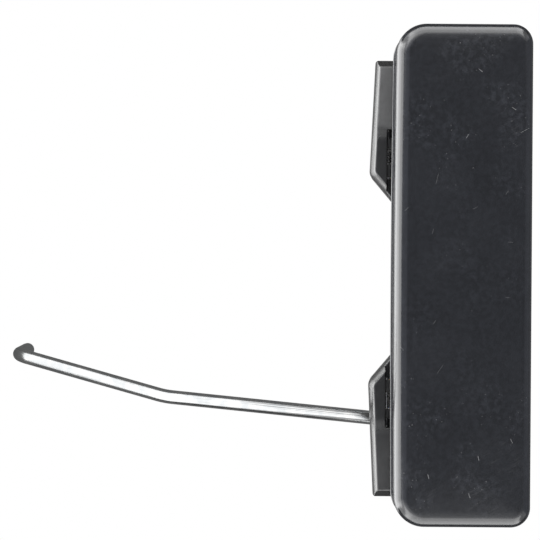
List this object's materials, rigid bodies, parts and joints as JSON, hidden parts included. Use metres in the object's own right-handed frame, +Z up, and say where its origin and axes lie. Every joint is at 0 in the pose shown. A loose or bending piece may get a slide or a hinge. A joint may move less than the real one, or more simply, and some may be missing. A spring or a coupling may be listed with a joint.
{
  "type": "paddle lift handle",
  "caption": "Flap type lift handle: a long paddle hinged along one edge on two brackets, with a crank that pulls a bent wire link rod.",
  "frame": {"origin": "on the door skin's outer face, on the line of the two studs, midway between the two brackets", "axes": "+Y into the door, away from the viewer; +Z up along the paddle; +X from the hinge edge to the free edge"},
  "size_m": [0.1635, 0.0588, 0.15],
  "materials": {
    "paddle_plastic": "satin moulded black plastic",
    "bracket_plastic": "satin moulded black plastic",
    "plate_plastic": "fine textured black plastic",
    "arm_metal": "black coated zinc casting",
    "zinc_wire": "bright zinc plate on drawn wire",
    "zinc_fastener": "bright zinc plate",
    "pin_steel": "ground steel",
    "spring_steel": "oiled spring wire",
    "black_screw": "black oxide",
    "rubber": "matt rubber",
    "acetal": "natural acetal"
  },
  "bodies": {
    "brackets": {"upper_bracket": "bracket_plastic", "lower_bracket": "bracket_plastic", "upper_gasket": "rubber", "lower_gasket": "rubber", "upper_hinge_pin": "pin_steel", "lower_hinge_pin": "pin_steel", "upper_bump_stop": "rubber", "lower_bump_stop": "rubber", "upper_stud": "zinc_fastener", "lower_stud": "zinc_fastener", "upper_washer": "zinc_fastener", "lower_washer": "zinc_fastener", "upper_nut": "zinc_fastener", "lower_nut": "zinc_fastener", "return_spring": "spring_steel"},
    "paddle": {"paddle_cover": "paddle_plastic", "back_plate": "plate_plastic", "upper_hinge_arm": "arm_metal", "lower_hinge_arm": "arm_metal", "arm_screw_1": "black_screw", "arm_screw_2": "black_screw", "arm_screw_3": "black_screw", "arm_screw_4": "black_screw", "plate_screw_1": "black_screw", "plate_screw_2": "black_screw", "upper_inner_bush": "acetal", "upper_outer_bush": "acetal", "lower_inner_bush": "acetal", "lower_outer_bush": "acetal", "crank_bush": "acetal"},
    "link": {"link_rod": "zinc_wire", "rod_clip": "spring_steel"}
  },
  "joints": [
    {"name": "paddle_hinge", "type": "hinge", "parent": "brackets", "child": "paddle", "pos_m": [-0.0102, -0.0097, 0], "axis": [0, 0, -1], "range_deg": [0, 32], "stiffness_Nm_per_rad": 0.25, "springref_deg": -20.05, "deforming": ["return_spring"]},
    {"name": "rod_pivot", "type": "hinge", "parent": "paddle", "child": "link", "pos_m": [-0.0087, 0.012, -0.042], "axis": [0, 0, -1], "range_deg": [-32, 0]}
  ],
  "couplings": [
    {"joint": "rod_pivot", "follows": "paddle_hinge", "ratio": -1}
  ]
}
